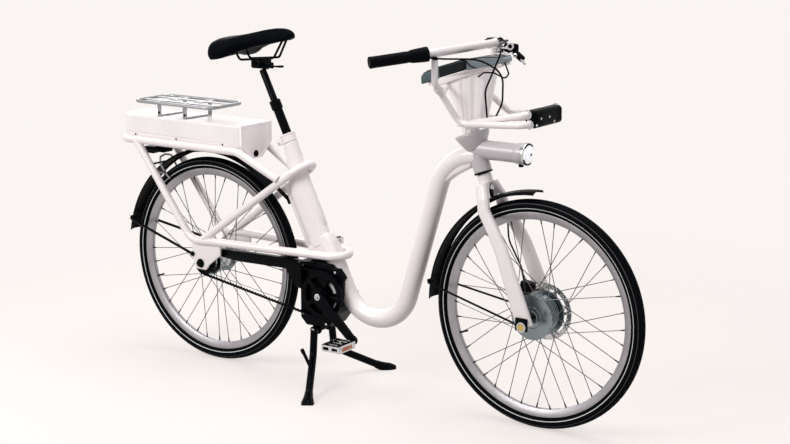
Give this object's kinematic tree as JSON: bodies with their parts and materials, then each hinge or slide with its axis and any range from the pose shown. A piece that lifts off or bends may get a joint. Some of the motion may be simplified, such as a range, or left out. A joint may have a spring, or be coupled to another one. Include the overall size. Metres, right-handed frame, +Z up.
{
  "type": "step-through electric bicycle",
  "caption": "Step-through city bicycle with a front hub motor, toothed belt drive, battery box under a rear rack, telescoping saddle post, docking bar and a twin-leg stand.",
  "frame": {"origin": "on the ground, under the middle of the bounding box", "axes": "+X forward along the bicycle, +Y to the rider's left, +Z up"},
  "size_m": [1.8126, 0.6202, 1.0498],
  "materials": {
    "white_paint": "gloss white enamel, faintly pink",
    "box_shell": "satin white moulding",
    "shade_panel": "matt grey with a lavender cast",
    "black_plastic": "fine-grained black moulding",
    "black_metal": "semi-gloss black enamel",
    "grip_rubber": "dull black rubber",
    "tyre_rubber": "black rubber with a thin light ring",
    "saddle_skin": "grained black vinyl",
    "silver_metal": "satin anodised",
    "rack_metal": "satin grey",
    "bright_steel": "polished",
    "lamp_glass": "clear lens",
    "screen_body": "dark gloss slab",
    "belt_rubber": "black toothed belt"
  },
  "bodies": {
    "frame": {"main_tube": "white_paint", "head_tube": "white_paint", "headlight_tube": "white_paint", "headlight_lens": "lamp_glass", "seat_tube": "white_paint", "seat_collar": "white_paint", "carrier_loop": "white_paint", "rear_frame_right": "white_paint", "rear_frame_left": "white_paint", "brace_loop": "white_paint", "battery_box": "box_shell", "battery_end_cover": "shade_panel", "rear_rack": "rack_metal", "rear_fender": "black_plastic", "rear_fender_stay": "black_metal", "belt_guard": "black_plastic", "bb_housing": "black_plastic", "rear_axle": "black_metal", "drive_belt": "belt_rubber"},
    "steering": {"fork": "white_paint", "headset_ring": "black_metal", "head_cover": "white_paint", "cowl": "white_paint", "handlebar": "white_paint", "docking_tube_lower": "white_paint", "docking_tube_upper": "white_paint", "docking_block": "black_plastic", "display": "screen_body", "grip_left": "grip_rubber", "grip_right": "grip_rubber", "front_fender": "black_plastic", "front_fender_stay": "black_metal", "front_axle": "black_metal", "brake_caliper": "black_metal", "shift_cable": "black_plastic", "brake_hose": "black_plastic", "brake_clamp": "silver_metal"},
    "shifter": {"twist_shifter": "grip_rubber"},
    "lever": {"brake_lever": "silver_metal"},
    "front_wheel": {"front_tyre": "tyre_rubber", "front_rim": "silver_metal", "front_spokes_right": "bright_steel", "front_spokes_left": "bright_steel", "front_hub_motor": "silver_metal", "front_brake_rotor": "bright_steel"},
    "rear_wheel": {"rear_tyre": "tyre_rubber", "rear_rim": "silver_metal", "rear_spokes_right": "bright_steel", "rear_spokes_left": "bright_steel", "rear_hub": "silver_metal"},
    "rear_pulley": {"rear_sprocket": "black_metal"},
    "cranks": {"crank_left": "black_metal", "crank_right": "black_metal"},
    "pedal_r": {"pedal_right": "black_plastic"},
    "pedal_l": {"pedal_left": "black_plastic"},
    "stand": {"center_stand": "black_metal"},
    "post_lower": {"seatpost_lower": "black_metal"},
    "post_upper": {"seatpost_upper": "black_metal", "saddle": "saddle_skin"},
    "post_lever": {"saddle_lever": "black_plastic"}
  },
  "joints": [
    {"name": "steering_turn", "type": "hinge", "parent": "frame", "child": "steering", "pos_m": [0.40656, 0, 0.697], "axis": [-0.342, 0, 0.9397], "range_deg": [-55, 55]},
    {"name": "shifter_twist", "type": "hinge", "parent": "steering", "child": "shifter", "pos_m": [0.32435, -0.1936, 1.0273], "axis": [-0.6246, -0.773, -0.1113], "range_deg": [-35, 35]},
    {"name": "brake_pull", "type": "hinge", "parent": "steering", "child": "lever", "pos_m": [0.38235, 0.165, 1.012], "axis": [0, 0, 1], "range_deg": [0, 10], "stiffness_Nm_per_rad": 2},
    {"name": "front_wheel_spin", "type": "hinge", "parent": "steering", "child": "front_wheel", "pos_m": [0.58635, 0, 0.32], "axis": [0, 1, 0], "continuous": true},
    {"name": "rear_wheel_spin", "type": "hinge", "parent": "frame", "child": "rear_wheel", "pos_m": [-0.56065, 0, 0.32], "axis": [0, 1, 0], "continuous": true},
    {"name": "crank_spin", "type": "hinge", "parent": "frame", "child": "cranks", "pos_m": [-0.11065, 0, 0.28], "axis": [0, 1, 0], "continuous": true},
    {"name": "rear_pulley_spin", "type": "hinge", "parent": "frame", "child": "rear_pulley", "pos_m": [-0.56065, 0, 0.32], "axis": [0, 1, 0], "continuous": true},
    {"name": "pedal_right_spin", "type": "hinge", "parent": "cranks", "child": "pedal_r", "pos_m": [0.01995, -0.15, 0.17118], "axis": [0, 1, 0], "continuous": true},
    {"name": "pedal_left_spin", "type": "hinge", "parent": "cranks", "child": "pedal_l", "pos_m": [-0.24126, 0.15, 0.38882], "axis": [0, 1, 0], "continuous": true},
    {"name": "stand_fold", "type": "hinge", "parent": "frame", "child": "stand", "pos_m": [-0.14865, 0, 0.166], "axis": [0, 1, 0], "range_deg": [0, 90]},
    {"name": "post_slide", "type": "slide", "parent": "frame", "child": "post_lower", "axis": [-0.4399, 0, 0.898], "range_m": [-0.07, 0.06]},
    {"name": "saddle_slide", "type": "slide", "parent": "post_lower", "child": "post_upper", "axis": [-0.4399, 0, 0.898], "range_m": [-0.055, 0.04]},
    {"name": "saddle_lever_pull", "type": "hinge", "parent": "post_upper", "child": "post_lever", "pos_m": [-0.34065, 0, 0.936], "axis": [0, -1, 0], "range_deg": [0, 12], "stiffness_Nm_per_rad": 0.5}
  ],
  "couplings": [
    {"joint": "rear_pulley_spin", "follows": "crank_spin", "ratio": 1.8182}
  ]
}
